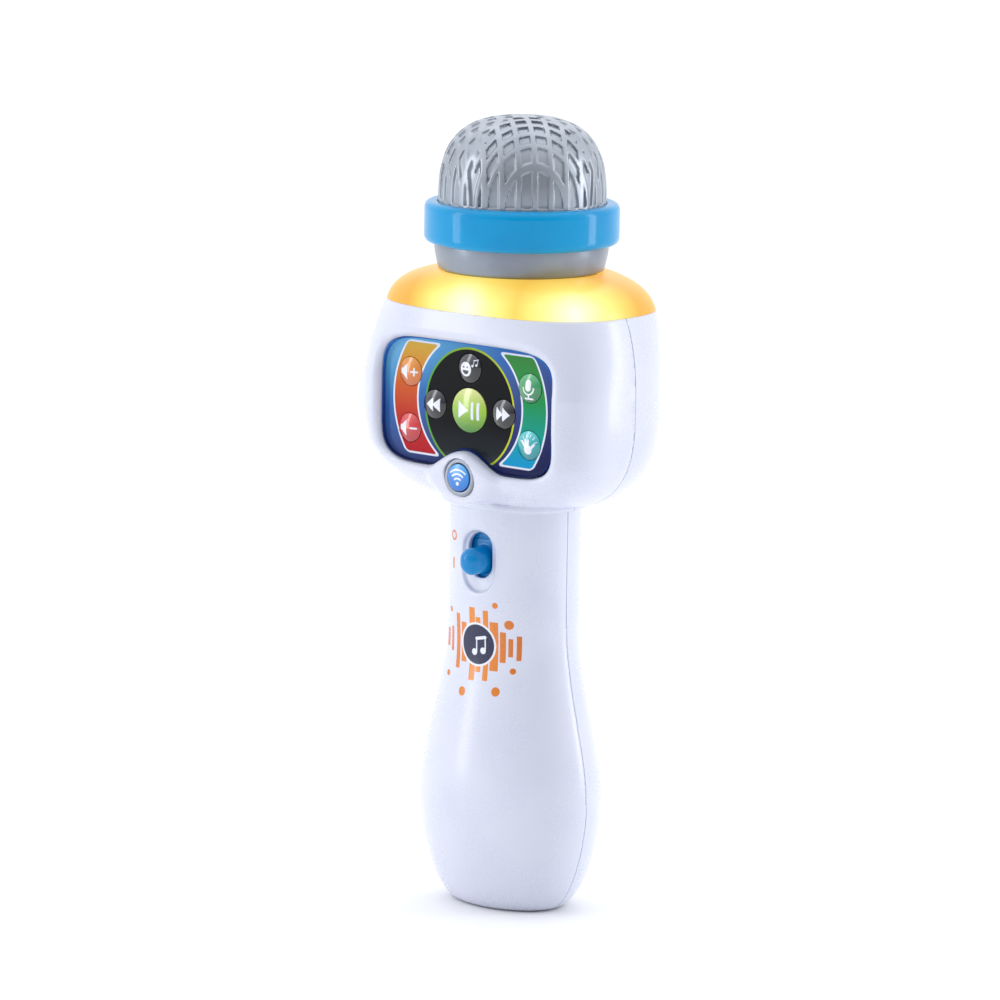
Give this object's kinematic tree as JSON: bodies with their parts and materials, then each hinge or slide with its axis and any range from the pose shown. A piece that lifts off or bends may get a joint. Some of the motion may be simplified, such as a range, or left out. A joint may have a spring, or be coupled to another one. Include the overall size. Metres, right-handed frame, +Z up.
{
  "type": "toy microphone",
  "caption": "Hand-held toy karaoke microphone with a light-up dome, a keypad head, a sliding switch and a battery door.",
  "frame": {"origin": "middle of the flat base that the microphone stands on, on the handle's axis", "axes": "+Z up from the base to the grille, -Y towards the side with the keypad and the slider, +X to the right of that side as seen from the front"},
  "size_m": [0.099, 0.0644, 0.257],
  "materials": {
    "white_shell": "semi-gloss moulded ABS, cool white",
    "dome_lens": "translucent warm diffuser lit from inside",
    "grille_silver": "satin silver paint on moulded plastic",
    "ring_blue": "gloss sky-blue plastic",
    "panel_print": "gloss panel with printed colour fields",
    "key_lime": "gloss, lime to green",
    "key_black": "gloss black",
    "key_orange": "gloss amber",
    "key_red": "gloss red",
    "key_green": "gloss green",
    "key_cyan": "gloss teal",
    "pairing_blue": "gloss blue",
    "bezel_grey": "satin grey",
    "switch_blue": "gloss blue",
    "inner_plastic": "matte moulded ABS",
    "dark_plastic": "matte black",
    "steel": "nickel plated",
    "board_green": "solder mask over glass fibre",
    "silicone": "silicone rubber",
    "cell_wrap": "shrink wrap",
    "paper_cone": "pressed pulp",
    "magnet": "ferrite and steel cup",
    "led_lens": "clear epoxy"
  },
  "bodies": {
    "casing": {"front_housing": "white_shell", "rear_housing": "white_shell", "light_dome": "dome_lens", "grille_dome": "grille_silver", "bumper_ring": "ring_blue", "collar": "grille_silver", "control_panel": "panel_print", "pairing_bezel": "bezel_grey", "slide_switch": "steel", "battery_tray": "inner_plastic", "batteries": "cell_wrap", "contact_springs": "steel", "contact_plates": "steel", "speaker_frame": "steel", "speaker_cone": "paper_cone", "speaker_magnet": "magnet", "speaker_screws": "steel", "main_pcb": "board_green", "processor_chip": "dark_plastic", "wireless_module": "steel", "capacitors": "dark_plastic", "pairing_tact_switch": "dark_plastic", "keypad_membrane": "silicone", "pcb_screws": "steel", "led_board": "board_green", "leds": "led_lens", "mic_capsule": "steel", "mic_holder": "silicone", "mic_bracket": "dark_plastic", "case_screws": "steel"},
    "play_pause_key": {"play_pause_key": "key_lime"},
    "previous_key": {"previous_key": "key_black"},
    "next_key": {"next_key": "key_black"},
    "voice_key": {"voice_key": "key_black"},
    "volume_up_key": {"volume_up_key": "key_orange"},
    "volume_down_key": {"volume_down_key": "key_red"},
    "record_key": {"record_key": "key_green"},
    "applause_key": {"applause_key": "key_cyan"},
    "pairing_button": {"pairing_button": "pairing_blue"},
    "switch_slider": {"switch_knob": "switch_blue"},
    "battery_door": {"battery_door": "white_shell", "battery_door_screw": "steel"}
  },
  "joints": [
    {"name": "play_pause_key_press", "type": "slide", "parent": "casing", "child": "play_pause_key", "axis": [0, 1, 0], "range_m": [0, 0.0008], "stiffness_N_per_m": 1000},
    {"name": "previous_key_press", "type": "slide", "parent": "casing", "child": "previous_key", "axis": [0, 1, 0], "range_m": [0, 0.0008], "stiffness_N_per_m": 1000},
    {"name": "next_key_press", "type": "slide", "parent": "casing", "child": "next_key", "axis": [0, 1, 0], "range_m": [0, 0.0008], "stiffness_N_per_m": 1000},
    {"name": "voice_key_press", "type": "slide", "parent": "casing", "child": "voice_key", "axis": [0, 1, 0], "range_m": [0, 0.0008], "stiffness_N_per_m": 1000},
    {"name": "volume_up_key_press", "type": "slide", "parent": "casing", "child": "volume_up_key", "axis": [0, 1, 0], "range_m": [0, 0.0008], "stiffness_N_per_m": 1000},
    {"name": "volume_down_key_press", "type": "slide", "parent": "casing", "child": "volume_down_key", "axis": [0, 1, 0], "range_m": [0, 0.0008], "stiffness_N_per_m": 1000},
    {"name": "record_key_press", "type": "slide", "parent": "casing", "child": "record_key", "axis": [0, 1, 0], "range_m": [0, 0.0008], "stiffness_N_per_m": 1000},
    {"name": "applause_key_press", "type": "slide", "parent": "casing", "child": "applause_key", "axis": [0, 1, 0], "range_m": [0, 0.0008], "stiffness_N_per_m": 1000},
    {"name": "pairing_button_press", "type": "slide", "parent": "casing", "child": "pairing_button", "axis": [0, 1, 0], "range_m": [0, 0.001], "stiffness_N_per_m": 1000},
    {"name": "switch_slide", "type": "slide", "parent": "casing", "child": "switch_slider", "axis": [0, 0, 1], "range_m": [0, 0.004]},
    {"name": "battery_door_hinge", "type": "hinge", "parent": "casing", "child": "battery_door", "pos_m": [0, 0.0196, 0.076], "axis": [1, 0, 0], "range_deg": [0, 60]}
  ]
}
